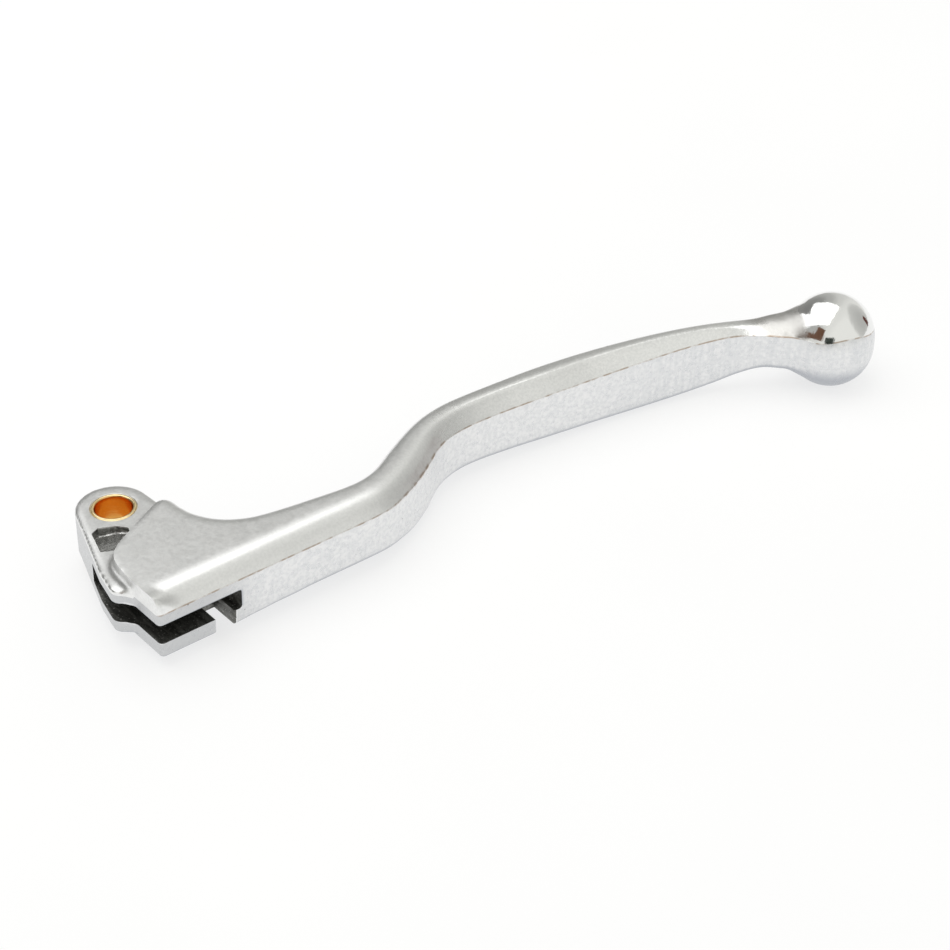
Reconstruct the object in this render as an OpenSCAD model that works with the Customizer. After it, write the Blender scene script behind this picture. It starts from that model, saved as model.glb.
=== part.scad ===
// Left-hand clutch lever: a one-piece cast lever with a ball end, and the
// thin plain bush that lines its pivot eye.
// Millimetres, +Z up.  The origin is the centre of the pivot bore, +Z is the
// pivot axis, and +X runs along the arm, parallel to the slotted front face.

/* [Pivot eye] */
// Outer radius of the round end of the eye
eye_r = 8; // [7.5:0.1:8.5]
// Height of the eye, between its two bearing faces
eye_h = 10.4; // [10:0.1:10.8]
// Radius of the hole through the eye that takes the bush
eye_hole_r = 4.7; // [4.7:0.05:5]
// Depth of the weight-saving pocket in the top of the eye
pocket_depth = 2; // [1:0.1:2.3]

/* [Pivot bush] */
// Inner radius of the bush, which runs on the pivot bolt
bush_bore_r = 4; // [3.5:0.1:4.2]
// Outer radius of the bush, a running fit in the eye
bush_outer_r = 4.66; // [4.62:0.01:4.66]
// Length of the bush, a little more than the eye
bush_l = 10.6; // [10.4:0.1:11]
// Chamfer on the mouths of the bush
bush_chamfer = 0.3; // [0.1:0.05:0.4]

/* [Cable slot] */
// Height of the slot that takes the cable end
slot_h = 4.7; // [4.2:0.1:5]
// Distance from the pivot back to the closed end of the slot
slot_back_y = -10.5; // [-12:0.5:-9.5]
// Right-hand end of the slot
slot_right_x = 6.8; // [6:0.1:8]
// Left side of the nipple notch in the lower plate
notch_left_x = 0.3; // [0:0.1:0.6]
// Right side of the nipple notch in the lower plate
notch_right_x = 4.9; // [4.8:0.1:5.4]
// Closed end of the nipple notch
notch_back_y = -28.9; // [-30:0.1:-28]

/* [Ball end] */
// Middle of the ball along the arm, from the pivot
ball_x = 166.9; // [166.5:0.1:167.3]
// Middle of the ball across the arm, from the pivot
ball_y = -43.2; // [-43.6:0.1:-42.8]
// Radius of the ball
ball_r = 10.1; // [9.5:0.1:10.2]
// Height of the straight band round the middle of the ball
ball_band = 1.9; // [1:0.1:2.4]
// Height of the ball's middle above the pivot's middle
ball_z = 2.1; // [1.8:0.1:2.4]

/* [Lever body] */
// How far the sides lean in below the parting line
side_draft = 0.4; // [0.2:0.1:0.6]

/* [Hidden] */
$fn = 64;
// How far a cut runs past the face it opens
past = 0.5;

aluminium = [0.83, 0.84, 0.85];
bronze = [0.83, 0.6, 0.3];

// Height of the eye's bearing faces above and below the middle
eye_z = eye_h / 2;
// A point clear of the lever on the open sides of the slot: left, front, below
clear_of_lever = [-20, -40, -12];

// The plan of the lever is two rails: the front parting line and the back
// edge.  Each row is a station, from the pivot end to the ball:
// [front x, front y, back x, back y, line z, top z, bottom z, blade share,
//  bottom edge radius, back edge radius]
// The blade share is 0 where the top is flat with a broad front shoulder and
// 1 where it falls from a ridge near the back edge.
STATIONS = [
    [-13, -36.8, -13, -27, 4.9, 8.6, -6, 0, 0.6, 0.5],
    [-12.2, -36.8, -12.5, -21.8, 4.9, 8.6, -6, 0, 0.6, 0.5],
    [-10.8, -36.8, -11.2, -18.2, 4.9, 8.6, -6, 0, 0.6, 0.5],
    [-8.5, -36.8, -8.6, -15.6, 4.9, 8.6, -6, 0, 0.6, 0.5],
    [-4, -36.8, -3.5, -12.8, 4.9, 8.6, -6, 0, 0.6, 0.5],
    [0, -36.8, 1.5, -10.1, 4.9, 8.6, -6, 0, 0.6, 0.5],
    [4, -36.8, 6.2, -7.6, 4.9, 8.6, -6, 0, 0.6, 0.9],
    [7, -36.8, 8.8, -8.6, 4.9, 8.6, -6, 0, 0.8, 1.9],
    [9.5, -36.8, 9.5, -12.4, 4.9, 8.6, -6, 0, 1.1, 2.3],
    [12.5, -36.8, 10.6, -16, 4.9, 8.6, -6.1, 0, 1.4, 2.5],
    [16, -36.8, 13.6, -20.3, 4.9, 8.6, -6.1, 0, 1.7, 2.5],
    [20, -36.8, 18.4, -23.3, 4.9, 8.6, -6.2, 0, 1.9, 2.5],
    [25, -36.8, 24.6, -24.8, 4.9, 8.6, -6.2, 0, 2.2, 2.5],
    [32, -36.8, 32.4, -26, 4.9, 8.6, -6.2, 0, 2.2, 2.5],
    [39, -36.8, 39.5, -26.9, 4.9, 8.6, -6.2, 0, 2.2, 2.5],
    [44.5, -36.4, 44, -26.8, 4.9, 8.6, -6.4, 0, 2.2, 2.5],
    [49, -35, 48.5, -25.5, 4.9, 8.6, -6.9, 0.1, 2.2, 2.5],
    [54.5, -32.5, 54.3, -22.4, 4.9, 8.6, -7.6, 0.2, 2.2, 2.5],
    [60.5, -29, 60.5, -19.2, 4.9, 8.6, -7.8, 0.3, 2.2, 2.5],
    [66.5, -25.1, 66.5, -16.7, 4.9, 8.6, -7.2, 0.5, 2.2, 2.5],
    [71.5, -23.3, 72, -15.4, 4.9, 8.6, -6.7, 0.7, 2.2, 2.5],
    [78, -22.6, 78, -15, 4.9, 8.6, -6.6, 0.9, 2.2, 2.5],
    [88, -23.1, 88, -15.4, 4.9, 8.6, -7, 1, 2.2, 2.5],
    [100, -24.3, 100, -16.3, 4.9, 8.6, -7.6, 1, 2.2, 2.5],
    [112, -25.6, 112, -17.9, 4.9, 8.5, -8.1, 1, 2.2, 2.5],
    [124, -27.3, 124, -20.4, 5.1, 8.4, -8.4, 1, 2.2, 2.4],
    [134, -29.3, 134, -23.1, 5.5, 8.2, -8.1, 1, 2.2, 2.2],
    [142, -31.8, 142.5, -26, 5.9, 7.9, -6.9, 1, 2.2, 1.9],
    [147, -34.2, 148.5, -28.6, 6.1, 7.6, -5.2, 0.9, 2.2, 1.6],
    [151, -37.5, 153.2, -31, 6.2, 7.6, -3.5, 0.7, 2.2, 1.6],
    [154.4, -41.2, 157.4, -32.9, 6.3, 8.3, -3.3, 0.5, 2.2, 2],
    [158.6, -44, 161.6, -35.2, 6.2, 8.8, -3.8, 0.5, 2.2, 2.2],
    [162, -44, 164, -38, 6, 8, -3.8, 0.5, 2, 1.8]
];
// Steps between two stations
SUB = 3;

// The front of the top: [inset from the line, share of the rise], from the
// line up to the flat, for the arm and for the blade
ARM_TOP = [[0.8, 0.31], [1.85, 0.62], [3.15, 0.85], [4.4, 0.96], [5.7, 1]];
BLADE_TOP = [[2.3, 0.73], [2.7, 0.84], [3.3, 0.93], [3.9, 0.98], [4.4, 1]];
// Angles of the rings round a quarter-round edge
TOP_ARC = [90, 65, 42, 20, 0];
BOTTOM_ARC = [0, 30, 60, 90];
// How far the back leans in between the line and its rounded top edge
back_lean = 0.05;
// Least upright left between the line and the back's rounded top edge
back_upright = 0.1;
// Largest share of the lever's width that both rounded top edges may take
rounded_share = 0.9;

// One value of a smooth curve through four neighbours, t from 0 to 1
function curve(a, b, c, d, t) =
    b + 0.5 * t * (c - a + t * (2 * a - 5 * b + 4 * c - d + t * (3 * (b - c) + d - a)));

function key(i) = STATIONS[min(max(i, 0), len(STATIONS) - 1)];

// All the stations, with SUB steps between two rows
FINE = [
    for (i = [0:len(STATIONS) - 2])
        for (s = [0:SUB - 1]) curve(key(i - 1), key(i), key(i + 1), key(i + 2), s / SUB),
    STATIONS[len(STATIONS) - 1]
];
LAST = len(FINE) - 1;

function fine(i) = FINE[min(max(i, 0), LAST)];
function front(i) = [fine(i)[0], fine(i)[1]];
function back(i) = [fine(i)[2], fine(i)[3]];
function unit(v) = v / norm(v);
function turned(v) = [-v[1], v[0]];
// Directions that point into the body from each rail
function front_in(i) = turned(unit(front(min(i + 1, LAST)) - front(max(i - 1, 0))));
function back_in(i) = -turned(unit(back(min(i + 1, LAST)) - back(max(i - 1, 0))));

function mix(a, b, share) = a * (1 - share) + b * share;

// Rings of one side of a station, bottom first: [inset, z]
function lower_rings(s) = [
    for (a = BOTTOM_ARC) [side_draft + s[8] * (1 - sin(a)), s[6] + s[8] * (1 - cos(a))]
];
// The front shoulder narrows where the lever is too thin for it
function shoulder_scale(s) =
    let (width = norm([s[0] - s[2], s[1] - s[3]]))
    min(1, (rounded_share * width - s[9]) / mix(ARM_TOP[4][0], BLADE_TOP[4][0], s[7]));
function front_rings(s) = concat(
    lower_rings(s),
    [[0, s[4]]],
    [
        for (k = [0:4])
            let (p = mix(ARM_TOP[k], BLADE_TOP[k], s[7]))
            [p[0] * shoulder_scale(s), mix(s[4], s[5], p[1])]
    ]
);
function back_rings(s) =
    let (r = min(s[9], s[5] - s[4] - back_upright))
    concat(
        lower_rings(s),
        [[0, s[4]]],
        [for (a = TOP_ARC) [r * (1 - sin(a)) + back_lean, s[5] - r * (1 - cos(a))]]
    );
RINGS = len(BOTTOM_ARC) + 1 + len(TOP_ARC);

// One closed section: up the front, then down the back
function section(i) =
    let (s = fine(i), f = front_rings(s), b = back_rings(s))
    concat(
        [for (k = [0:RINGS - 1]) let (p = front(i) + front_in(i) * f[k][0]) [p[0], p[1], f[k][1]]],
        [for (k = [RINGS - 1:-1:0]) let (p = back(i) + back_in(i) * b[k][0]) [p[0], p[1], b[k][1]]]
    );

module arm_and_blade() {
    n = 2 * RINGS;
    points = [for (i = [0:LAST]) each section(i)];
    walls = [
        for (i = [0:LAST - 1])
            for (k = [0:n - 1])
                let (a = i * n + k, b = i * n + (k + 1) % n)
                each [[a, b, b + n], [a, b + n, a + n]]
    ];
    ends = [
        for (i = [0, LAST])
            for (k = [0:RINGS - 2])
                let (
                    a = i * n + k,
                    b = i * n + n - 1 - k,
                    quad = [[a, b, b - 1], [a, b - 1, a + 1]]
                )
                each (i == 0 ? quad : [for (t = quad) [t[2], t[1], t[0]]])
    ];
    polyhedron(points, concat(walls, ends), convexity = 6);
}

// Ball end: a ball with a short straight band round its middle
module ball() {
    translate([ball_x, ball_y, ball_z])
        rotate_extrude()
            intersection() {
                union() {
                    translate([0, ball_band / 2]) circle(ball_r);
                    translate([0, -ball_band / 2]) circle(ball_r);
                    translate([-ball_r, -ball_band / 2]) square([2 * ball_r, ball_band]);
                }
                // The half of the outline on one side of the axis
                translate([0, -2 * ball_r]) square([2 * ball_r, 4 * ball_r]);
            }
}

// Plan of the eye: round the pivot, and widening towards the cable slot
module eye_outline() {
    circle(eye_r);
    translate([-13.2, -23.6]) circle(2.4);
    polygon([
        [-7.7, 2.1], [-11.8, -9.9], [-14.2, -17], [-15.6, -23.4], [-15, -25.2],
        [-13.4, -26.6], [-8, -28], [6, -20], [8.6, -8], [8, 0]
    ]);
}

module eye() {
    translate([0, 0, -eye_z]) linear_extrude(eye_h) eye_outline();
}

// Weight-saving pocket in the top of the eye, in front of the bush
module pocket() {
    translate([0, 0, eye_z - pocket_depth])
        linear_extrude(pocket_depth + past)
            polygon([
                [-8.6, -5.2], [-6.5, -4.3], [-3.2, -5.9], [-1.5, -8], [-2.2, -10],
                [-8, -13.2], [-10.5, -11.7]
            ]);
}

// Slot for the cable end, open to the left and to the front
module slot() {
    translate([clear_of_lever[0], clear_of_lever[1], -slot_h / 2])
        cube([slot_right_x - clear_of_lever[0], slot_back_y - clear_of_lever[1], slot_h]);
}

// Notch in the plate under the slot, for the cable's nipple
module notch() {
    translate([notch_left_x, clear_of_lever[1], clear_of_lever[2]])
        cube([
            notch_right_x - notch_left_x, notch_back_y - clear_of_lever[1], -clear_of_lever[2]
        ]);
}

module lever_body() {
    color(aluminium)
        difference() {
            union() {
                arm_and_blade();
                ball();
                eye();
            }
            cylinder(r = eye_hole_r, h = 3 * eye_h, center = true);
            pocket();
            slot();
            notch();
        }
}

module pivot_bush() {
    color(bronze)
        rotate_extrude()
            polygon([
                [bush_bore_r, -bush_l / 2 + bush_chamfer],
                [bush_bore_r + bush_chamfer, -bush_l / 2],
                [bush_outer_r, -bush_l / 2],
                [bush_outer_r, bush_l / 2],
                [bush_bore_r + bush_chamfer, bush_l / 2],
                [bush_bore_r, bush_l / 2 - bush_chamfer]
            ]);
}

lever_body();
pivot_bush();
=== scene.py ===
"""A left-hand clutch lever: one polished aluminium casting with a ball end, and the bush in its pivot eye.

The lever's surface is the zero level of a distance field, which is built from its two edge curves in
plan, its section and its cut-outs. A mesh with sharp edges is drawn over it. Shapes are in millimetres
and the scene's objects are in metres.
"""
import math

import bpy
import numpy as np
from mathutils import Matrix, Vector


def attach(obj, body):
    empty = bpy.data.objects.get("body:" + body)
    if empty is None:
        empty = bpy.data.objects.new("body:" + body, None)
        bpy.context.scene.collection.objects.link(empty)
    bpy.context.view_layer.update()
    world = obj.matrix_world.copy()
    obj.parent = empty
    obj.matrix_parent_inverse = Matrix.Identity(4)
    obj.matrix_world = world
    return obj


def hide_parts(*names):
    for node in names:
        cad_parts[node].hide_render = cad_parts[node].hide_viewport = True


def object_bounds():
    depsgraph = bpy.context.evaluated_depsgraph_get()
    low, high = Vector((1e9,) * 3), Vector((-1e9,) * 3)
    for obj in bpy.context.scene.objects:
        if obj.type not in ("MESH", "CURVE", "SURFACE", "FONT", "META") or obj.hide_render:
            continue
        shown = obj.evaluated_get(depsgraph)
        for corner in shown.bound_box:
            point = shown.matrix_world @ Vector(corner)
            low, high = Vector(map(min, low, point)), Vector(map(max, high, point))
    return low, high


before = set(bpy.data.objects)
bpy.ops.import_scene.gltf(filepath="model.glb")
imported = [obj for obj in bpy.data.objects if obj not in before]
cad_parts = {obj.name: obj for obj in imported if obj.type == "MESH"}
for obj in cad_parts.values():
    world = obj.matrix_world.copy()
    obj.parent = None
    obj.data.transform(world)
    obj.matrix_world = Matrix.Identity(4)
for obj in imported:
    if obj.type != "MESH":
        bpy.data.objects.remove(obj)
cad_box = [list(corner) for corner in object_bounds()]

MM = 0.001

# ---------------------------------------------------------------- the lever's shape, in millimetres

# The plan is two rails: the front parting line and the back edge. Each row is a station, from the pivot
# end to the ball: front x, front y, back x, back y, line z, top z, bottom z, blade share, bottom edge
# radius, back edge radius. The blade share is 0 for the arm, where the slope up from the parting line is
# short and its arc broad, and 1 for the blade, where the slope is long and its arc tight.
STATIONS = [
    [-13, -36.8, -13, -27, 4.9, 8.6, -6, 0, 0.6, 0.1],
    [-12.2, -36.8, -12.5, -21.8, 4.9, 8.6, -6, 0, 0.6, 0.1],
    [-10.8, -36.8, -11.2, -18.2, 4.9, 8.6, -6, 0, 0.6, 0.1],
    [-8.5, -36.8, -8.6, -15.6, 4.9, 8.6, -6, 0, 0.6, 0.1],
    [-4, -36.8, -3.5, -12.8, 4.9, 8.6, -6, 0, 0.6, 0.1],
    [0, -36.8, 1.5, -10.1, 4.9, 8.6, -6, 0, 0.6, 0.2],
    [4, -36.8, 6.2, -7.6, 4.9, 8.6, -6, 0, 0.6, 0.9],
    [7, -36.8, 8.8, -8.6, 4.9, 8.6, -6, 0, 0.8, 1.9],
    [9.5, -36.8, 9.5, -12.4, 4.9, 8.6, -6, 0, 1.1, 2.3],
    [12.5, -36.8, 10.6, -16, 4.9, 8.6, -6.1, 0, 1.4, 2.5],
    [16, -36.8, 13.6, -20.3, 4.9, 8.6, -6.1, 0, 1.7, 2.5],
    [20, -36.8, 18.4, -23.3, 4.9, 8.6, -6.2, 0, 1.9, 2.5],
    [25, -36.8, 24.6, -24.8, 4.9, 8.6, -6.2, 0, 2.2, 2.5],
    [32, -36.8, 32.4, -26, 4.9, 8.6, -6.2, 0, 2.2, 2.5],
    [39, -36.8, 39.5, -26.9, 4.9, 8.6, -6.2, 0, 2.2, 2.5],
    [44.5, -36.4, 44, -26.8, 4.9, 8.6, -6.4, 0, 2.2, 2.5],
    [49, -35, 48.5, -25.5, 4.9, 8.6, -6.9, 0.1, 2.2, 2.5],
    [54.5, -32.5, 54.3, -22.4, 4.9, 8.6, -7.6, 0.2, 2.2, 2.5],
    [60.5, -29, 60.5, -19.2, 4.9, 8.6, -7.8, 0.3, 2.2, 2.5],
    [66.5, -25.1, 66.5, -16.7, 4.9, 8.6, -7.2, 0.5, 2.2, 2.5],
    [71.5, -23.3, 72, -15.4, 4.9, 8.6, -6.7, 0.7, 2.2, 2.5],
    [78, -22.6, 78, -15, 4.9, 8.6, -6.6, 0.9, 2.2, 2.5],
    [88, -23.1, 88, -15.4, 4.9, 8.6, -7, 1, 2.2, 2.5],
    [100, -24.3, 100, -16.3, 4.9, 8.6, -7.6, 1, 2.2, 2.5],
    [112, -25.6, 112, -17.9, 4.9, 8.5, -8.1, 1, 2.2, 2.5],
    [124, -27.3, 124, -20.4, 5.1, 8.4, -8.4, 1, 2.2, 2.4],
    [134, -29.3, 134, -23.1, 5.5, 8.2, -8.1, 1, 2.2, 2.2],
    [142, -31.8, 142.5, -26, 5.9, 7.9, -6.9, 1, 2.2, 1.9],
    [147, -34.2, 148.5, -28.6, 6.1, 7.6, -5.2, 0.9, 2.2, 1.6],
    [151, -37.5, 153.2, -31, 6.2, 7.6, -3.5, 0.7, 2.2, 1.6],
    [154.4, -41.2, 157.4, -32.9, 6.3, 8.3, -3.3, 0.5, 2.2, 2],
    [158.6, -44, 161.6, -35.2, 6.2, 8.8, -3.8, 0.5, 2.2, 2.2],
    [162, -44, 164, -38, 6, 8, -3.8, 0.5, 2, 1.8],
]
SHAPE_COLUMNS = slice(4, 10)
STEPS = 24  # points on a rail between two stations

# The front of the top is a straight slope up from the parting line and then an arc into the flat
SLOPE_DEG = {"arm": 55.0, "blade": 50.0}
SLOPE_RUN = {"arm": 0.8, "blade": 2.3}
SLOPE_ARC = {"arm": 6.0, "blade": 2.8}
SLOPE_WIDTH = {"arm": 5.7, "blade": 4.4}  # of the straight slope and its arc together, in plan
ROUNDED_SHARE = 0.9  # of the width, for the front slope and the back edge together
NARROWEST_SLOPE = 0.3  # share of its width that the slope keeps where the plan is thin
SIDE_DRAFT = 0.4
CORNER_R = 1.0  # upright corner at the front of the pivot end
BLADE_END = (163.0, -41.0)  # inside the ball, where the blade stops
BLADE_END_WAY = (0.9, -0.43)  # the direction that the blade has there

EYE_R = 8.0
EYE_HALF = 5.2
EYE_EDGE = 0.7
EYE_HOLE_R = 4.7
EYE_HOLE_CHAMFER = 0.35
# The plate that joins the eye to the step, in plan, and its rounded corner: x, y and radius
EYE_WEDGE = [
    [-7.7, 2.1], [-11.8, -9.9], [-14.2, -17], [-15.6, -23.4], [-15, -25.2],
    [-13.4, -26.6], [-8, -28], [6, -20], [8.6, -8], [8, 0],
]
EYE_LOBE = (-13.2, -23.6, 2.4)
STEP_FILLET = 1.8  # where the eye meets the step
STEP_FILLET_FADES = (3, 8)  # in x
STEP_FILLET_STARTS = (-5.6, -4.4)  # in z
SHARP = 0.001  # a fillet this small is none

POCKET = [
    [-8.6, -5.2], [-6.5, -4.3], [-3.2, -5.9], [-1.5, -8], [-2.2, -10], [-8, -13.2], [-10.5, -11.7],
]
POCKET_FLOOR = 3.0
POCKET_RISE = 0.26  # how much its floor climbs for each millimetre towards the front
POCKET_BACK = -5.0
POCKET_INNER_R = 0.6

SLOT_HALF = 2.35
SLOT_RIGHT = 6.8
SLOT_BACK = -10.5
SLOT_INNER_R = 0.7
NOTCH_LEFT = 0.3
NOTCH_RIGHT = 4.9
NOTCH_BACK = -28.9
NOTCH_FLARE = 1.2  # rounding between the notch's right wall and the front face
FRONT_Y = -36.8

BALL_AT = (166.9, -43.2, 2.1)
BALL_R = 10.1
BALL_BAND = 1.9  # height of the upright band round its middle
BALL_FILLET = 2.6

BUSH_BORE_R = 4.0
BUSH_OUTER_R = 4.66
BUSH_HALF = 5.3
BUSH_CHAMFER = 0.3
BUSH_SOFT = 0.06  # how far the chamfers' corners are rounded
BUSH_SIDES = 144
BUSH_BORE_ROWS = 12

# ---------------------------------------------------------------- the lever's finish and painted light and shade, in millimetres

# Along x, where each change begins and where it is complete
MIRROR_POLISH = (146, 160)
# The neck: rougher, and darker in colour as painted shade
DULL_AND_SHADED_NECK = (149, 153)
HUB_FADES = (-2, 14)
BLADE_SATIN = (62, 88)
BELT_STREAKS = (105, 135)
GROUND_ROUND_BALL = (155, 161)
# The same, out from the ball's own surface into the fillet of the neck
NECK_OFF_BALL = (0.02, 0.5)

NEAR_BALL_X = BALL_AT[0] - BALL_R - BALL_FILLET - 3
BALL_LINE_Z = 5.7
BALL_LINE_CLIMB = 1.5
BALL_LINE_TOP_DEG = -108  # seen from above, the way from the ball's middle to where the line is highest
BALL_LINE_SPREAD = 4  # the higher, the shorter the stretch that climbs
LINE_REACH = 0.7  # how far from the edge in plan the parting line still shows
BACK_LINE_FROM_X = 10
BEND_X = 58
BEND_BURRS = (4, 16)  # the line is widest within 4 mm of BEND_X, and as elsewhere from 16 mm on
BEND_BURRS_EXTRA = 1.3
PLAN_SLACK = 0.05  # how far past the plan's edges a point still counts as inside
EYE_LINE_BELOW = 0.2  # the eye's walls count as ground from this far below its rounded edge

# Share of a face's direction that points down or up, where the painted shade on down-facing faces and the
# painted light on the pocket's up-facing floor begin and where they are complete
UNDERSIDE_PAINTED_SHADE = (0.1, 0.55)
POCKET_FACES_UP = (0.3, 0.8)
POCKET_LIP = 0.5  # the lighter skin, a painted light, starts this far below the pocket's floor at its back
HOLLOW_SKIN = 0.06  # a face this near to a cut-out's surface has the cast finish
OUTWARD_REACH = 0.1  # how far round a vertex the surface's direction is taken
BEND_REACH = 0.5  # how far in and out the field is sampled to find edges and creases

# ---------------------------------------------------------------- the lever's mesh

GRID = 0.42  # spacing of the grid that the mesh is drawn on, in millimetres
PLAN_GRID = 0.25
MARGIN = 1.2
CROSSING_ROUNDS = 4  # of closing in on where the surface cuts an edge of the grid
EDGE_PULL = 0.04  # the smaller, the nearer a vertex goes to a sharp corner
CORNER_SAMPLE = 0.3  # share of the way from a face's corner to its middle, where its normal is taken
SOFTEN_ROUNDS = 8
SAME_SURFACE = 0.96  # cosine of the angle up to which two faces are smoothed together
POINTS_AT_ONCE = 200000
RAIL_POINTS_AT_ONCE = 20000

# ---------------------------------------------------------------- the studio, in metres

CAMERA_AT = (-0.2218, -0.3959, 0.3267)
CAMERA_WAY = (0.5133, 0.6384, -0.5736)
CAMERA_LENS_MM = 100.4
CAMERA_SENSOR_MM = 36
MIDDLE = (0.08, -0.02, 0.0)  # of the table and of what the softbox lights
TABLE_SIZE = 8
TABLE_GLOW = 0.68
SOFTBOX_WAY = Vector((-0.146, 0.319, 0.923))
SOFTBOX_ACROSS = Vector((0.385, -0.96, 0.45))
SOFTBOX_FAR = 1.0
SOFTBOX_SIZE = (1.1, 1.3)
SOFTBOX_W = 5.6
# Plain cards round the table that show only as reflections: direction from the ball, size and colour
CARDS = {
    "brown_card": ((-0.87, -0.15, 0.46), (0.3, 0.42), (0.16, 0.07, 0.035)),
    "dark_card": ((-0.73, -0.63, 0.26), (0.3, 0.24), (0.02, 0.03, 0.022)),
    "red_card": ((0.98, -0.2, 0.06), (0.12, 0.3), (0.12, 0.03, 0.02)),
}
CARDS_FAR = 0.75
# The room's brightness by direction, in pairs: how nearly a direction points at the wall, from 0 for away
# from it to 1 for straight at it, and the tone there. The darker of the two walls is what shows.
DARK_WALL = Vector((-0.3, 0.9, 0.32))
DARK_WALL_TONES = [
    (0.0, 0.88), (0.35, 0.88), (0.55, 0.8), (0.675, 0.66), (0.78, 0.46), (0.9, 0.28), (1.0, 0.22),
]
GREY_WALL = Vector((0.85, -0.35, 0.35))
GREY_WALL_TONES = [(0.0, 1.0), (0.88, 0.92), (0.95, 0.58), (1.0, 0.5)]
ROOM_BLUE = 0.96  # of the red and green

# ---------------------------------------------------------------- the lever's distance field


def mix(a, b, share):
    return a + (b - a) * share


def smooth_step(low, high, value):
    t = np.clip((value - low) / (high - low), 0, 1)
    return t * t * (3 - 2 * t)


def round_max(a, b, radius):
    """Intersection of two distance fields, with the edge between them rounded."""
    outside = np.hypot(np.maximum(a + radius, 0), np.maximum(b + radius, 0))
    return np.minimum(np.maximum(a, b), -radius) + outside


def round_min(a, b, radius):
    """Union of two distance fields, with a fillet where they meet."""
    return -round_max(-a, -b, radius)


def smooth_rows(rows, steps):
    """The rows of a table with steps between each two, on smooth curves through them."""
    rows = np.array(rows, float)
    padded = np.vstack([rows[:1], rows, rows[-1:]])[:, None, :]
    a, b, c, d = padded[:-3], padded[1:-2], padded[2:-1], padded[3:]
    t = (np.arange(steps) / steps)[None, :, None]
    fine = b + 0.5 * t * (c - a + t * (2 * a - 5 * b + 4 * c - d + t * (3 * (b - c) + d - a)))
    return np.vstack([fine.reshape(-1, rows.shape[1]), rows[-1:]])


def rail_field(rail, along, points):
    """How far each plan point lies to the left of a rail, and how far along the rail it is."""
    stride = 6
    coarse = rail[::stride]
    reach = np.arange(-stride - 2, stride + 3)
    inset, where = np.empty(len(points)), np.empty(len(points))
    for part in np.array_split(np.arange(len(points)), 1 + len(points) // RAIL_POINTS_AT_ONCE):
        p = points[part]
        nearest = ((p[:, None] - coarse) ** 2).sum(2).argmin(1) * stride
        window = np.clip(nearest[:, None] + reach, 0, len(rail) - 1)
        near = window[np.arange(len(p)), ((p[:, None] - rail[window]) ** 2).sum(2).argmin(1)]
        best = np.full(len(p), np.inf)
        for start in (near - 1, near):
            start = np.clip(start, 0, len(rail) - 2)
            a, step = rail[start], rail[start + 1] - rail[start]
            t = np.clip(((p - a) * step).sum(1) / (step**2).sum(1), 0, 1)
            off = p - a - t[:, None] * step
            far = np.hypot(off[:, 0], off[:, 1])
            side = np.sign(step[:, 0] * (p - a)[:, 1] - step[:, 1] * (p - a)[:, 0])
            closer = far < best
            best[closer] = far[closer]
            inset[part[closer]] = (side * far)[closer]
            where[part[closer]] = mix(along[start], along[start + 1], t)[closer]
    return inset, where


def polygon_field(corners, points):
    """Signed distance to a polygon, negative inside."""
    corners = np.array(corners, float)
    far = np.full(len(points), np.inf)
    inside = np.zeros(len(points), bool)
    for a, b in zip(corners, np.roll(corners, -1, 0)):
        step, off = b - a, points - a
        t = np.clip(off @ step / (step @ step), 0, 1)
        far = np.minimum(far, np.hypot(*(off - t[:, None] * step).T))
        crosses = (a[1] > points[:, 1]) != (b[1] > points[:, 1])
        level = (points[:, 1] - a[1]) / (step[1] if step[1] else 1.0)
        inside ^= crosses & (points[:, 0] < a[0] + level * step[0])
    return np.where(inside, -far, far)


def run_on(rail, along, direction, count=40, spacing=0.5):
    """The rail with a straight run before its first point."""
    extra = rail[0] - np.arange(count, 0, -1)[:, None] * spacing * np.array(direction)
    return np.vstack([extra, rail]), np.concatenate([np.full(len(extra), along[0]), along])


def plan_fields():
    """Everything that depends on x and y alone, worked out once on a fine grid."""
    fine = smooth_rows(STATIONS, STEPS)
    along = np.arange(len(fine), dtype=float)
    low = np.array(cad_box[0][:2]) / MM - MARGIN - 1
    high = np.array(cad_box[1][:2]) / MM + MARGIN + 1
    counts = np.ceil((high - low) / PLAN_GRID).astype(int) + 1
    xs = low[0] + PLAN_GRID * np.arange(counts[0])
    ys = low[1] + PLAN_GRID * np.arange(counts[1])
    points = np.stack(np.meshgrid(xs, ys, indexing="ij"), 2).reshape(-1, 2)
    front, front_along = rail_field(*run_on(fine[:, 0:2], along, (1, 0)), points)
    back, back_along = rail_field(*run_on(fine[:, 2:4], along, (0, 1)), points)
    circle = np.hypot(points[:, 0], points[:, 1]) - EYE_R
    lobe = np.hypot(points[:, 0] - EYE_LOBE[0], points[:, 1] - EYE_LOBE[1]) - EYE_LOBE[2]
    eye = np.minimum(np.minimum(circle, lobe), polygon_field(EYE_WEDGE, points))
    pocket = polygon_field(POCKET, points)
    layers = np.stack([front, -back, front_along, back_along, eye, pocket], 1)
    layers = layers.reshape(counts[0], counts[1], -1)
    return {"low": low, "layers": layers, "rows": fine[:, SHAPE_COLUMNS]}


def look_up(plan, x, y):
    """The plan fields at any points, between the grid's values."""
    layers = plan["layers"]
    u = np.clip((x - plan["low"][0]) / PLAN_GRID, 0, layers.shape[0] - 1.001)
    v = np.clip((y - plan["low"][1]) / PLAN_GRID, 0, layers.shape[1] - 1.001)
    i, j = u.astype(int), v.astype(int)
    u, v = (u - i)[:, None], (v - j)[:, None]
    near = mix(layers[i, j], layers[i + 1, j], u)
    return mix(near, mix(layers[i, j + 1], layers[i + 1, j + 1], u), v).T


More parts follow.
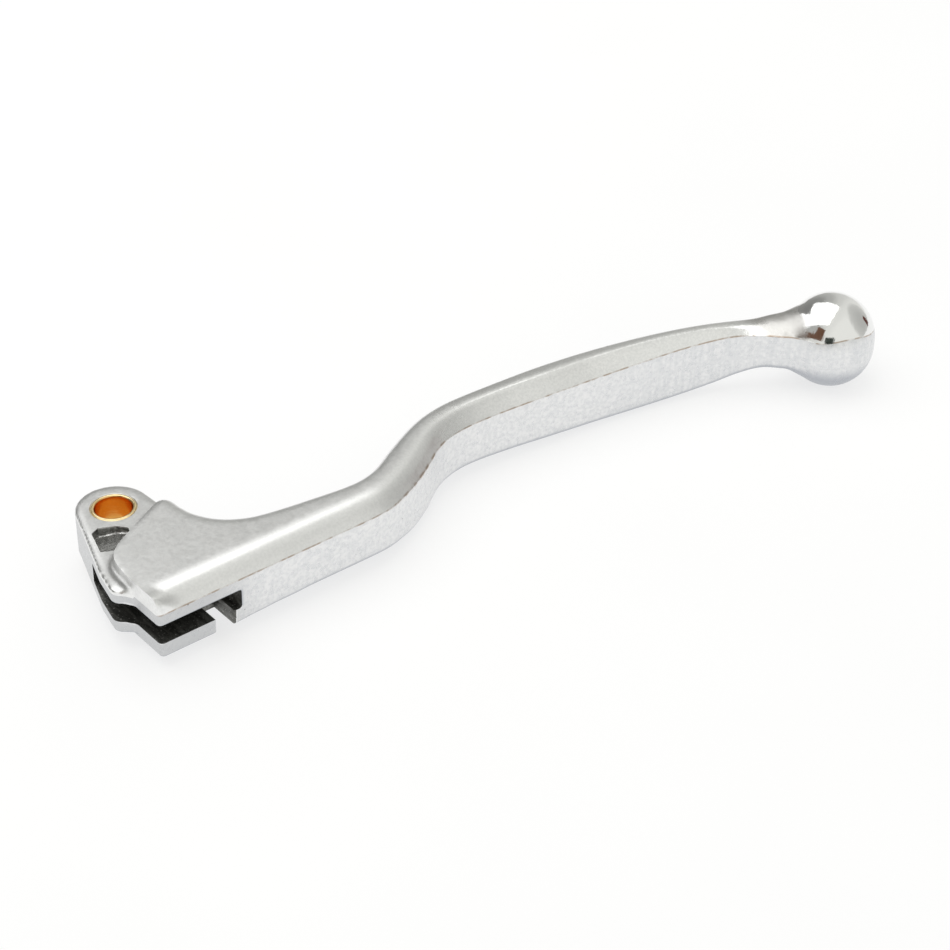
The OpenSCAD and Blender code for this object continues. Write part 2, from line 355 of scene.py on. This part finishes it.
def top_height(inset, blade, narrow, line, top):
    """Height of the top at an inset from the parting line, and its slope."""
    angle = np.radians(mix(SLOPE_DEG["arm"], SLOPE_DEG["blade"], blade))
    run = mix(SLOPE_RUN["arm"], SLOPE_RUN["blade"], blade) * narrow
    arc = mix(SLOPE_ARC["arm"], SLOPE_ARC["blade"], blade) * narrow
    rise = run * np.tan(angle) + arc * (1 - np.cos(angle))
    stretch = (top - line) / rise
    over = np.clip(arc * np.sin(angle) - (inset - run), 0, arc * np.sin(angle))
    level = np.sqrt(arc**2 - over**2)
    on_slope = inset < run
    on_arc = run * np.tan(angle) + level - arc * np.cos(angle)
    height = np.where(on_slope, inset * np.tan(angle), on_arc)
    slope = np.where(on_slope, np.tan(angle), over / level)
    return line + height * stretch, slope * stretch


def ball_field(x, y, z):
    """A ball with a short upright band round its middle."""
    past_band = z - BALL_AT[2] - np.clip(z - BALL_AT[2], -BALL_BAND / 2, BALL_BAND / 2)
    return np.sqrt((x - BALL_AT[0]) ** 2 + (y - BALL_AT[1]) ** 2 + past_band**2) - BALL_R


def lever_field(plan, points):
    """Distance from each point to the lever's surface, negative inside."""
    x, y, z = points.T
    front, back, front_along, back_along, eye, pocket = look_up(plan, x, y)
    share = np.clip(front / np.where(front + back > 0.01, front + back, 0.01), 0, 1)
    at = np.clip(mix(front_along, back_along, share), 0, len(plan["rows"]) - 1.001)
    row = at.astype(int)
    row_share = (at - row)[:, None]
    rows = plan["rows"]
    line, top, bottom, blade, bottom_edge, back_edge = mix(rows[row], rows[row + 1], row_share).T
    blade = np.clip(blade, 0, 1)
    width = mix(SLOPE_WIDTH["arm"], SLOPE_WIDTH["blade"], blade)
    narrow = np.clip((ROUNDED_SHARE * (front + back) - back_edge) / width, NARROWEST_SLOPE, 1)
    height, slope = top_height(front, blade, narrow, line, top)
    above = (z - height) / np.sqrt(1 + slope**2)
    lean = SIDE_DRAFT * np.clip((line - z) / (line - bottom), 0, 1)
    upright = round_max(lean - front, lean - back, CORNER_R)
    body = np.maximum(upright, round_max(lean - back, above, back_edge))
    body = round_max(body, bottom - z, bottom_edge)
    end = (x - BLADE_END[0]) * BLADE_END_WAY[0] + (y - BLADE_END[1]) * BLADE_END_WAY[1]
    body = np.maximum(body, end)
    ball = ball_field(x, y, z)
    body = round_min(body, ball, BALL_FILLET)
    eye_solid = round_max(eye, np.abs(z) - EYE_HALF, EYE_EDGE)
    fillet = STEP_FILLET * (1 - smooth_step(*STEP_FILLET_FADES, x))
    fillet = fillet * smooth_step(*STEP_FILLET_STARTS, z) + SHARP
    shape = round_min(body, eye_solid, fillet)
    hole = EYE_HOLE_R + np.maximum(np.abs(z) - EYE_HALF + EYE_HOLE_CHAMFER, 0) - np.hypot(x, y)
    shape = np.maximum(shape, hole)
    return np.maximum(shape, -cut_field(points, pocket))


def cut_field(points, pocket):
    """Distance to the cast hollows: the pocket in the eye, the cable slot and the nipple notch."""
    x, y, z = points.T
    floor = POCKET_FLOOR + POCKET_RISE * (POCKET_BACK - y)
    hollow = round_max(pocket, floor - z, POCKET_INNER_R)
    slot = np.maximum(round_max(x - SLOT_RIGHT, np.abs(z) - SLOT_HALF, SLOT_INNER_R), y - SLOT_BACK)
    past = np.clip(FRONT_Y + NOTCH_FLARE - y, 0, NOTCH_FLARE)
    flare = NOTCH_FLARE - np.sqrt(NOTCH_FLARE**2 - past**2)
    across = np.maximum(NOTCH_LEFT - x, x - NOTCH_RIGHT - flare)
    notch = np.maximum(across, np.maximum(y - NOTCH_BACK, z))
    return np.minimum(np.minimum(slot, notch), hollow)


# ---------------------------------------------------------------- drawing a mesh over a distance field


def in_parts(field, points):
    parts = np.array_split(points, 1 + len(points) // POINTS_AT_ONCE)
    return np.concatenate([field(part) for part in parts])


def gradient(field, points, reach=0.02):
    """Unit direction in which the field grows."""
    total = np.zeros_like(points)
    for corner in ((1, -1, -1), (-1, -1, 1), (-1, 1, -1), (1, 1, 1)):
        corner = np.array(corner, float)
        total += corner * in_parts(field, points + reach * corner)[:, None]
    return total / np.linalg.norm(total, axis=1, keepdims=True)


def crossings(field, values, low, spacing, axis):
    """Where the surface cuts the grid's edges along an axis: grid index, sign, and the exact point."""
    near = [slice(None)] * 3
    far = [slice(None)] * 3
    near[axis], far[axis] = slice(0, -1), slice(1, None)
    a, b = values[tuple(near)], values[tuple(far)]
    index = np.argwhere((a < 0) != (b < 0))
    start = low + spacing * index
    va, vb = a[tuple(index.T)], b[tuple(index.T)]
    ta, tb = np.zeros(len(index)), np.ones(len(index))
    way = np.zeros(3)
    way[axis] = spacing
    for _ in range(CROSSING_ROUNDS):
        t = ta + (tb - ta) * np.clip(va / (va - vb), 0.02, 0.98)
        v = in_parts(field, start + t[:, None] * way)
        same = (v < 0) == (va < 0)
        ta, va = np.where(same, t, ta), np.where(same, v, va)
        tb, vb = np.where(same, tb, t), np.where(same, vb, v)
    t = ta + (tb - ta) * va / (va - vb)
    rising = b[tuple(index.T)] > a[tuple(index.T)]
    return index, rising, start + t[:, None] * way


def draw_surface(field, low, high, spacing):
    """Vertices, quads and corner normals of the field's zero level, with its sharp edges kept."""
    counts = np.ceil((high - low) / spacing).astype(int) + 1
    axes = [low[k] + spacing * np.arange(counts[k]) for k in range(3)]
    values = np.empty(counts)
    for i, x in enumerate(axes[0]):
        slab = np.stack(np.meshgrid([x], axes[1], axes[2], indexing="ij"), 3).reshape(-1, 3)
        values[i] = field(slab).reshape(counts[1:])
    cells, points, normals = [], [], []
    for axis in range(3):
        index, rising, point = crossings(field, values, low, spacing, axis)
        u, v = np.eye(3, dtype=int)[[(axis + 1) % 3, (axis + 2) % 3]]
        ring = np.stack([index, index - u, index - u - v, index - v], 1)
        ring[~rising] = ring[~rising][:, ::-1]
        cells.append(ring)
        points.append(point)
        normals.append(gradient(field, point))
    cells, points, normals = np.concatenate(cells), np.concatenate(points), np.concatenate(normals)
    keys = (cells[..., 0] * counts[1] + cells[..., 1]) * counts[2] + cells[..., 2]
    unique, quads = np.unique(keys, return_inverse=True)
    quads = quads.reshape(-1, 4)
    count = len(unique)
    owner = quads.ravel()
    spread = np.repeat(np.arange(len(points)), 4)

    def total(each):
        return np.bincount(owner, each[spread], count)

    share = total(np.ones(len(points)))
    middle = np.stack([total(points[:, k]) for k in range(3)], 1) / share[:, None]
    squares = np.stack(
        [total(normals[:, i] * normals[:, j]) for i in range(3) for j in range(3)], 1
    ).reshape(-1, 3, 3)
    plane = (points * normals).sum(1)
    pull = np.stack([total(normals[:, k] * plane) for k in range(3)], 1)
    pull -= np.einsum("nij,nj->ni", squares, middle)
    stiff = squares + EDGE_PULL * np.eye(3)
    offset = np.linalg.solve(stiff, pull[..., None])[..., 0]
    vertices = middle + np.clip(offset, -spacing, spacing)
    vertices -= in_parts(field, vertices)[:, None] * gradient(field, vertices)
    centres = vertices[quads].mean(1)
    samples = vertices[quads] + CORNER_SAMPLE * (centres[:, None] - vertices[quads])
    corner_normals = gradient(field, samples.reshape(-1, 3))
    return vertices, quads, corner_normals


def soften(quads, normals, rounds):
    """Evens out neighbouring corner normals, but not across a sharp edge."""
    corners = quads.ravel()
    by_vertex = np.argsort(corners, kind="stable")
    valence = np.bincount(corners)
    first = np.cumsum(valence) - valence
    for _ in range(rounds):
        faces = normals.reshape(-1, 4, 3).sum(1)
        faces /= np.linalg.norm(faces, axis=1, keepdims=True)
        total = normals.copy()
        for k in range(valence.max()):
            there = k < valence[corners]
            near = faces[by_vertex[np.where(there, first[corners] + k, 0)] // 4]
            close = there & ((near * normals).sum(1) > SAME_SURFACE)
            total += np.where(close[:, None], near, 0)
        normals = total / np.linalg.norm(total, axis=1, keepdims=True)
    return normals


def mesh_object(name, vertices, faces, corner_normals=None):
    """A smooth-shaded object in the scene, from vertices in metres."""
    mesh = bpy.data.meshes.new(name)
    mesh.from_pydata(vertices.tolist(), [], faces.tolist())
    mesh.update()
    mesh.shade_smooth()
    if corner_normals is not None:
        mesh.normals_split_custom_set(corner_normals.tolist())
    made = bpy.data.objects.new(name, mesh)
    bpy.context.scene.collection.objects.link(made)
    return made


def add_value(mesh, name, values):
    """One number for each vertex, for the material to read."""
    layer = mesh.attributes.new(name, "FLOAT", "POINT")
    layer.data.foreach_set("value", np.asarray(values, np.float32))


# ---------------------------------------------------------------- the lever


def ball_line(x, y):
    """Height of the hand-ground parting line round the ball."""
    turn = np.arctan2(y - BALL_AT[1], x - BALL_AT[0])
    near = np.maximum(np.cos(turn - math.radians(BALL_LINE_TOP_DEG)), 0)
    return BALL_LINE_Z + BALL_LINE_CLIMB * near**BALL_LINE_SPREAD


def add_finish_and_painted_light(mesh, vertices, plan, field):
    """Stores what the lever's material needs to know about each vertex."""
    x, y, z = vertices.T
    front, back, front_along, back_along, _, _ = look_up(plan, x, y)
    share = np.clip(front / np.maximum(front + back, 0.01), 0, 1)
    at = np.clip(mix(front_along, back_along, share), 0, len(plan["rows"]) - 1.001).astype(int)
    on_ball = smooth_step(*GROUND_ROUND_BALL, x)
    line = mix(plan["rows"][at, 0], ball_line(x, y), on_ball)
    in_plan = np.minimum(front, back) > -PLAN_SLACK
    eye_line = EYE_HALF - EYE_EDGE - EYE_LINE_BELOW
    add_value(mesh, "rise", z - np.where(in_plan | (x > NEAR_BALL_X), line, eye_line))
    add_value(mesh, "polish", smooth_step(*MIRROR_POLISH, x))
    off_ball = smooth_step(*NECK_OFF_BALL, ball_field(x, y, z))
    # The neck's mask: rougher there, and painted darker as shade
    add_value(mesh, "neck", smooth_step(*DULL_AND_SHADED_NECK, x) * off_ball)
    add_value(mesh, "hub", 1 - smooth_step(*HUB_FADES, x))
    add_value(mesh, "blade", smooth_step(*BLADE_SATIN, x))
    add_value(mesh, "belt", smooth_step(*BELT_STREAKS, x))
    at_front = np.abs(front) < LINE_REACH
    at_back = (np.abs(back) < LINE_REACH) & (x > BACK_LINE_FROM_X)
    in_bend = (1 - smooth_step(*BEND_BURRS, np.abs(x - BEND_X))) * at_front
    flash = at_front | at_back | (on_ball > 0.5)
    add_value(mesh, "flash", flash * (1 + BEND_BURRS_EXTRA * in_bend))
    outward = gradient(field, vertices, OUTWARD_REACH)
    # Faces that turn down are painted darker and bluer: painted shade
    add_value(mesh, "under", smooth_step(*UNDERSIDE_PAINTED_SHADE, -outward[:, 2]))
    # The pocket's floor, where it faces up, is shinier and painted lighter: painted light
    above_lip = z > POCKET_FLOOR - POCKET_LIP
    add_value(mesh, "open", above_lip * smooth_step(*POCKET_FACES_UP, outward[:, 2]))
    # How much the surface bulges: outer edges get a painted highlight, creases a painted shade
    inner = in_parts(field, vertices - BEND_REACH * outward)
    outer = in_parts(field, vertices + BEND_REACH * outward)
    add_value(mesh, "edge", (inner + outer) / BEND_REACH)


def make_lever():
    """The whole casting."""
    plan = plan_fields()

    def field(points):
        return lever_field(plan, points)

    low = np.array(cad_box[0]) / MM - MARGIN
    high = np.array(cad_box[1]) / MM + MARGIN
    vertices, quads, corner_normals = draw_surface(field, low, high, GRID)
    made = mesh_object("lever", vertices * MM, quads, soften(quads, corner_normals, SOFTEN_ROUNDS))
    add_finish_and_painted_light(made.data, vertices, plan, field)
    centres = vertices[quads].mean(1)
    pocket = look_up(plan, centres[:, 0], centres[:, 1])[5]
    cast = np.abs(cut_field(centres, pocket)) < HOLLOW_SKIN
    made.data.polygons.foreach_set("material_index", cast.astype(np.int32))
    made.data.materials.append(polished_aluminium())
    made.data.materials.append(cast_aluminium())
    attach(made, "lever")
    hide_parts("lever_body")


# ---------------------------------------------------------------- the bush


def make_bush():
    """A turned tube with small chamfers, each with softened corners."""
    soft = BUSH_SOFT
    bore_end = BUSH_HALF - BUSH_CHAMFER
    rim = [
        (BUSH_BORE_R, bore_end - soft),
        (BUSH_BORE_R + 0.3 * soft, bore_end + 0.3 * soft),
        (BUSH_BORE_R + BUSH_CHAMFER - 0.6 * soft, BUSH_HALF - 0.3 * soft),
        (BUSH_BORE_R + BUSH_CHAMFER + soft, BUSH_HALF),
        (BUSH_OUTER_R - 2 * soft, BUSH_HALF),
        (BUSH_OUTER_R - 0.6 * soft, BUSH_HALF - 0.6 * soft),
        (BUSH_OUTER_R, BUSH_HALF - 2 * soft),
    ]
    lower_rim = [(r, -z) for r, z in reversed(rim)]
    rows = np.linspace(soft - bore_end, bore_end - soft, BUSH_BORE_ROWS + 2)[1:-1]
    profile = rim + lower_rim + [(BUSH_BORE_R, z) for z in rows]
    turn = np.linspace(0, 2 * math.pi, BUSH_SIDES, endpoint=False)
    rings = [[(r * math.cos(a), r * math.sin(a), z) for r, z in profile] for a in turn]
    vertices = np.array(rings).reshape(-1, 3)
    count = len(profile)
    faces = []
    for i in range(BUSH_SIDES):
        here = i * count
        beside = (i + 1) % BUSH_SIDES * count
        for k in range(count):
            after = (k + 1) % count
            faces.append([beside + k, beside + after, here + after, here + k])
    made = mesh_object("bush", vertices * MM, np.array(faces))
    made.data.set_sharp_from_angle(angle=math.radians(50))
    # Marks the bore, whose deeper, darker colour is painted shade and painted reflection
    add_value(made.data, "inside", np.hypot(vertices[:, 0], vertices[:, 1]) < BUSH_BORE_R + soft)
    made.data.materials.append(bronze())
    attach(made, "bush")
    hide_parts("pivot_bush")


# ---------------------------------------------------------------- materials


class Nodes:
    """Short names for building one material's node tree."""

    def __init__(self, name):
        self.material = bpy.data.materials.new(name)
        self.material.use_nodes = True
        self.tree = self.material.node_tree
        self.shader = self.tree.nodes["Principled BSDF"]
        coordinates = self.tree.nodes.new("ShaderNodeTexCoord")
        self.place = self.scaled(coordinates.outputs["Object"], (1 / MM,) * 3)

    def link(self, source, socket):
        """Feeds a socket from another node, or sets it to a plain number or colour."""
        if isinstance(source, (int, float, tuple)):
            socket.default_value = source
        else:
            self.tree.links.new(source, socket)

    def scaled(self, vector, scale):
        node = self.tree.nodes.new("ShaderNodeVectorMath")
        node.operation = "MULTIPLY"
        self.link(vector, node.inputs[0])
        node.inputs[1].default_value = scale
        return node.outputs[0]

    def value(self, name):
        """A number that was stored on the mesh."""
        node = self.tree.nodes.new("ShaderNodeAttribute")
        node.attribute_name = name
        return node.outputs["Fac"]

    def noise(self, per_mm, detail=2.0, stretch=(1, 1, 1), distortion=0.0):
        """Cloudy noise; a stretch below 1 draws it out along that axis."""
        node = self.tree.nodes.new("ShaderNodeTexNoise")
        self.link(self.scaled(self.place, stretch), node.inputs["Vector"])
        node.inputs["Scale"].default_value = per_mm
        node.inputs["Detail"].default_value = detail
        node.inputs["Distortion"].default_value = distortion
        return node.outputs["Fac"]

    def spots(self, per_mm):
        """Distance from the nearest of many scattered points, in cells."""
        node = self.tree.nodes.new("ShaderNodeTexVoronoi")
        self.link(self.place, node.inputs["Vector"])
        node.inputs["Scale"].default_value = per_mm
        return node.outputs["Distance"]

    def fit(self, source, low, high, to_low=0.0, to_high=1.0):
        """A smooth step between two levels of the source, scaled to run from to_low to to_high."""
        node = self.tree.nodes.new("ShaderNodeMapRange")
        node.interpolation_type = "SMOOTHSTEP"
        self.link(source, node.inputs["Value"])
        node.inputs["From Min"].default_value = low
        node.inputs["From Max"].default_value = high
        node.inputs["To Min"].default_value = to_low
        node.inputs["To Max"].default_value = to_high
        return node.outputs["Result"]

    def math(self, operation, a, b=0.0):
        node = self.tree.nodes.new("ShaderNodeMath")
        node.operation = operation
        self.link(a, node.inputs[0])
        self.link(b, node.inputs[1])
        return node.outputs[0]

    def mean(self, share, a, b):
        """The number a where share is 0 and b where it is 1: a Mix node's sockets 2 and 3 are numbers."""
        node = self.tree.nodes.new("ShaderNodeMix")
        self.link(share, node.inputs["Factor"])
        self.link(a, node.inputs[2])
        self.link(b, node.inputs[3])
        return node.outputs[0]

    def blend(self, share, a, b):
        """The colour a where share is 0 and b where it is 1: a Mix node's sockets 6 and 7 are colours."""
        node = self.tree.nodes.new("ShaderNodeMix")
        node.data_type = "RGBA"
        self.link(share, node.inputs["Factor"])
        self.link(a, node.inputs[6])
        self.link(b, node.inputs[7])
        return node.outputs[2]

    def bump(self, height, depth_mm, strength, under=None):
        """Relief of a height, on top of the relief under it."""
        node = self.tree.nodes.new("ShaderNodeBump")
        node.inputs["Strength"].default_value = strength
        node.inputs["Distance"].default_value = depth_mm * MM
        self.link(height, node.inputs["Height"])
        if under is not None:
            self.link(under, node.inputs["Normal"])
        return node.outputs["Normal"]


def polished_aluminium():
    """A mirror on the ball, satin on top and ground on the sides, with dirt on the parting line and wear;
    painted highlights on outer edges, and painted shade in creases, on down-facing faces and on the neck.
    """
    m = Nodes("polished_aluminium")
    rise = m.value("rise")
    polish = m.value("polish")
    edge = m.value("edge")
    side = m.fit(rise, -0.12, 0.04, 1.0, 0.0)
    # Painted highlight along outer edges and painted shade in creases
    painted_edge_highlight = m.fit(edge, 0.25, 0.6)
    painted_crease_shade = m.fit(edge, -0.7, -0.15, 1.0, 0.0)
    cloud = m.noise(0.09, 3.0)
    mottle = m.noise(1.1, 4.0)
    grain = m.noise(1.8, 3.0)
    belt = m.math("MULTIPLY", m.fit(m.noise(1.1, 3.0, (1.0, 1.0, 0.06)), 0.35, 0.7), m.value("belt"))
    nick = m.fit(m.spots(0.11), 0.012, 0.03, 1.0, 0.0)
    pit = m.fit(m.spots(0.42), 0.035, 0.065, 1.0, 0.0)
    pitted = m.math("MULTIPLY", pit, m.fit(m.noise(0.12), 0.52, 0.6))
    worn = m.math("MAXIMUM", nick, m.math("MULTIPLY", pitted, m.fit(side, 0.0, 1.0, 0.15, 1.0)))
    flash = m.value("flash")
    off_line = m.math("DIVIDE", m.math("ABSOLUTE", rise), m.math("MAXIMUM", flash, 0.01))
    line_dirt = m.math("MULTIPLY", m.math("MINIMUM", flash, 1.0), m.fit(off_line, 0.05, 0.25, 1.0, 0.0))
    line_dirt = m.math("MULTIPLY", line_dirt, m.fit(m.noise(0.4, 4.0), 0.4, 0.6, 0.15, 1.0))
    buffing = m.noise(1.3, 3.0, (0.05, 1.0, 1.0))

    # Colour
    bright = m.blend(cloud, (0.82, 0.825, 0.82, 1), (0.89, 0.89, 0.88, 1))
    speckle = m.math("MULTIPLY", m.fit(grain, 0.35, 0.65), m.fit(polish, 0.0, 1.0, 0.4, 0.0))
    bright = m.blend(speckle, bright, (0.72, 0.725, 0.72, 1))
    # The neck is painted darker: painted shade
    bright = m.blend(m.math("MULTIPLY", m.value("neck"), 0.85), bright, (0.52, 0.51, 0.49, 1))
    ground = m.blend(m.fit(mottle, 0.3, 0.7), (0.7, 0.71, 0.72, 1), (0.83, 0.83, 0.83, 1))
    ground = m.blend(m.math("MULTIPLY", belt, 0.35), ground, (0.6, 0.62, 0.64, 1))
    ground = m.blend(m.math("MULTIPLY", m.value("hub"), 0.6), ground, (0.46, 0.47, 0.48, 1))
    # Faces that turn down are painted darker and bluer: painted shade
    ground = m.blend(m.math("MULTIPLY", m.value("under"), 0.8), ground, (0.42, 0.44, 0.48, 1))
    colour = m.blend(side, bright, ground)
    # Painted highlight on outer edges, painted shade in creases
    colour = m.blend(m.math("MULTIPLY", painted_edge_highlight, 0.5), colour, (0.95, 0.95, 0.95, 1))
    colour = m.blend(m.math("MULTIPLY", painted_crease_shade, 0.45), colour, (0.4, 0.4, 0.38, 1))
    colour = m.blend(m.math("MULTIPLY", line_dirt, 0.75), colour, (0.34, 0.24, 0.16, 1))
    colour = m.blend(m.math("MULTIPLY", worn, 0.75), colour, (0.2, 0.19, 0.17, 1))

    # Roughness
    arm_satin = m.fit(mottle, 0.3, 0.7, 0.28, 0.35)
    blade_satin = m.fit(mottle, 0.3, 0.7, 0.18, 0.24)
    ball_mirror = m.fit(grain, 0.3, 0.7, 0.08, 0.12)
    neck_dull = m.fit(grain, 0.3, 0.7, 0.3, 0.42)
    ground_side = m.fit(mottle, 0.3, 0.7, 0.26, 0.4)
    satin = m.mean(m.value("blade"), arm_satin, blade_satin)
    mirror = m.mean(m.value("neck"), ball_mirror, neck_dull)
    rough = m.mean(side, m.mean(polish, satin, mirror), ground_side)
    rough = m.math("ADD", rough, m.math("MULTIPLY", worn, 0.25))

    # Relief, from the broadest to the finest, and last the pits and nicks
    peel = m.bump(m.noise(0.3, 1.0), 0.03, 0.25)
    buffed = m.bump(buffing, 0.008, 0.25, peel)
    fine = m.bump(m.math("MULTIPLY", grain, m.fit(side, 0.0, 1.0, 0.2, 1.0)), 0.012, 0.4, buffed)
    streaks = m.bump(belt, 0.02, 0.4, fine)
    dents = m.bump(m.math("SUBTRACT", 1.0, worn), 0.06, 0.8, streaks)

    m.link(colour, m.shader.inputs["Base Color"])
    m.link(rough, m.shader.inputs["Roughness"])
    m.link(dents, m.shader.inputs["Normal"])
    m.shader.inputs["Metallic"].default_value = 1.0
    return m.material


def cast_aluminium():
    """The unpolished skin inside the slot, the notch and the pocket, painted dark as shade, and painted
    lighter as lit where the pocket's floor faces up.
    """
    m = Nodes("cast_aluminium")
    scratch = m.noise(0.9, 4.0, (1.0, 0.25, 1.0), 0.6)
    pores = m.noise(2.6, 3.0)
    # Painted shade on the slot, the notch and the pocket's walls; painted light on the pocket's floor where
    # it faces up
    dark = m.blend(m.fit(scratch, 0.35, 0.7), (0.1, 0.1, 0.092, 1), (0.26, 0.26, 0.245, 1))
    light = m.blend(scratch, (0.45, 0.45, 0.44, 1), (0.9, 0.9, 0.89, 1))
    colour = m.blend(m.value("open"), dark, light)
    colour = m.blend(m.fit(pores, 0.6, 0.72), colour, (0.6, 0.6, 0.59, 1))
    skin = m.bump(m.noise(0.9, 3.0), 0.16, 0.9)
    dull = m.fit(pores, 0.3, 0.7, 0.42, 0.62)
    shiny = m.fit(pores, 0.3, 0.7, 0.16, 0.34)
    m.link(colour, m.shader.inputs["Base Color"])
    m.link(m.mean(m.value("open"), dull, shiny), m.shader.inputs["Roughness"])
    m.link(m.bump(scratch, 0.06, 0.6, skin), m.shader.inputs["Normal"])
    m.shader.inputs["Metallic"].default_value = 0.95
    return m.material


def bronze():
    """Turned bronze; inside the bore a deeper, darker colour is painted shade and painted reflection of the
    bore's own walls.
    """
    m = Nodes("bronze")
    turned = m.noise(3.0, 2.0, (0.15, 0.15, 1.0))
    stain = m.noise(0.5, 3.0)
    face = m.blend(stain, (0.86, 0.66, 0.34, 1), (0.95, 0.8, 0.5, 1))
    # Inside the bore: painted shade and painted reflection of its own walls
    wall = m.blend(stain, (0.76, 0.35, 0.075, 1), (0.86, 0.47, 0.13, 1))
    m.link(m.blend(m.value("inside"), face, wall), m.shader.inputs["Base Color"])
    m.link(m.fit(turned, 0.3, 0.7, 0.14, 0.24), m.shader.inputs["Roughness"])
    m.link(m.bump(turned, 0.01, 0.4), m.shader.inputs["Normal"])
    m.shader.inputs["Metallic"].default_value = 1.0
    return m.material


def light_table():
    """A pale matt sheet that is also lit softly from below."""
    m = Nodes("light_table")
    tone = m.noise(0.01, 2.0)
    m.link(m.blend(tone, (0.3, 0.3, 0.3, 1), (0.34, 0.34, 0.34, 1)), m.shader.inputs["Base Color"])
    m.shader.inputs["Roughness"].default_value = 0.9
    m.shader.inputs["Emission Color"].default_value = (1, 1, 1, 1)
    m.shader.inputs["Emission Strength"].default_value = TABLE_GLOW
    return m.material


def card(name, colour):
    """A matt card, a little uneven in tone."""
    m = Nodes(name)
    darker = [0.7 * channel for channel in colour]
    tone = m.blend(m.noise(0.02, 2.0), (*colour, 1), (*darker, 1))
    m.link(tone, m.shader.inputs["Base Color"])
    m.shader.inputs["Roughness"].default_value = 0.8
    return m.material


# ---------------------------------------------------------------- the studio


def flat_panel(name, width, height, place, normal, material):
    """A rectangle for the studio, facing along normal."""
    x, y = width / 2, height / 2
    corners = np.array([(-x, -y, 0), (x, -y, 0), (x, y, 0), (-x, y, 0)])
    made = mesh_object(name, corners, np.array([[0, 1, 2, 3]]))
    made.location = place
    made.rotation_mode = "QUATERNION"
    made.rotation_quaternion = Vector(normal).to_track_quat("Z", "Y")
    made.data.materials.append(material)
    return made


def make_camera():
    """At the height and distance of the photograph, looking down 35 degrees."""
    data = bpy.data.cameras.new("camera")
    camera = bpy.data.objects.new("camera", data)
    bpy.context.scene.collection.objects.link(camera)
    camera.location = CAMERA_AT
    camera.rotation_mode = "QUATERNION"
    camera.rotation_quaternion = Vector(CAMERA_WAY).to_track_quat("-Z", "Y")
    data.sensor_width = CAMERA_SENSOR_MM
    data.lens = CAMERA_LENS_MM
    data.clip_start = 0.01
    data.clip_end = 50
    bpy.context.scene.camera = camera


def wall_tone(tree, direction, toward, tones):
    """Brightness of the room by how closely a direction points toward a wall."""
    dot = tree.nodes.new("ShaderNodeVectorMath")
    dot.operation = "DOT_PRODUCT"
    tree.links.new(direction, dot.inputs[0])
    dot.inputs[1].default_value = toward.normalized()
    share = tree.nodes.new("ShaderNodeMapRange")
    share.inputs["From Min"].default_value = -1
    tree.links.new(dot.outputs["Value"], share.inputs["Value"])
    ramp = tree.nodes.new("ShaderNodeValToRGB")
    ramp.color_ramp.interpolation = "EASE"
    while len(ramp.color_ramp.elements) < len(tones):
        ramp.color_ramp.elements.new(0.5)
    for element, (place, tone) in zip(ramp.color_ramp.elements, tones):
        element.position = place
        element.color = (tone, tone, ROOM_BLUE * tone, 1)
    tree.links.new(share.outputs["Result"], ramp.inputs[0])
    return ramp.outputs["Color"]


def make_room():
    """Pale walls all round, darker behind the lever and grey to its right."""
    world = bpy.data.worlds.new("room")
    world.use_nodes = True
    tree = world.node_tree
    direction = tree.nodes.new("ShaderNodeTexCoord").outputs["Generated"]
    darker = tree.nodes.new("ShaderNodeMix")
    darker.data_type = "RGBA"
    darker.blend_type = "DARKEN"
    darker.inputs["Factor"].default_value = 1.0
    tree.links.new(wall_tone(tree, direction, DARK_WALL, DARK_WALL_TONES), darker.inputs[6])
    tree.links.new(wall_tone(tree, direction, GREY_WALL, GREY_WALL_TONES), darker.inputs[7])
    tree.links.new(darker.outputs[2], tree.nodes["Background"].inputs["Color"])
    bpy.context.scene.world = world
    bpy.context.scene.view_settings.view_transform = "Standard"


def make_table():
    middle = Vector(MIDDLE)
    at_foot = (middle.x, middle.y, cad_box[0][2])
    flat_panel("table", TABLE_SIZE, TABLE_SIZE, at_foot, (0, 0, 1), light_table())


def make_softbox():
    """One large soft light overhead, a little behind the lever."""
    way = SOFTBOX_WAY.normalized()
    along = way.cross(SOFTBOX_ACROSS).normalized()
    data = bpy.data.lights.new("softbox", "AREA")
    data.shape = "RECTANGLE"
    data.size, data.size_y = SOFTBOX_SIZE
    data.energy = SOFTBOX_W
    light = bpy.data.objects.new("softbox", data)
    bpy.context.scene.collection.objects.link(light)
    light.location = Vector(MIDDLE) + SOFTBOX_FAR * way
    light.rotation_mode = "QUATERNION"
    light.rotation_quaternion = Matrix((along.cross(way), along, way)).transposed().to_quaternion()


def make_cards():
    """The cards are seen in reflections only, and give no light or shadow."""
    for name, (toward, size, colour) in CARDS.items():
        toward = Vector(toward).normalized()
        place = Vector(BALL_AT) * MM + CARDS_FAR * toward
        panel = flat_panel(name, *size, place, -toward, card(name, colour))
        panel.visible_camera = False
        panel.visible_diffuse = False
        panel.visible_shadow = False


make_camera()
make_room()
make_table()
make_softbox()
make_cards()
make_lever()
make_bush()
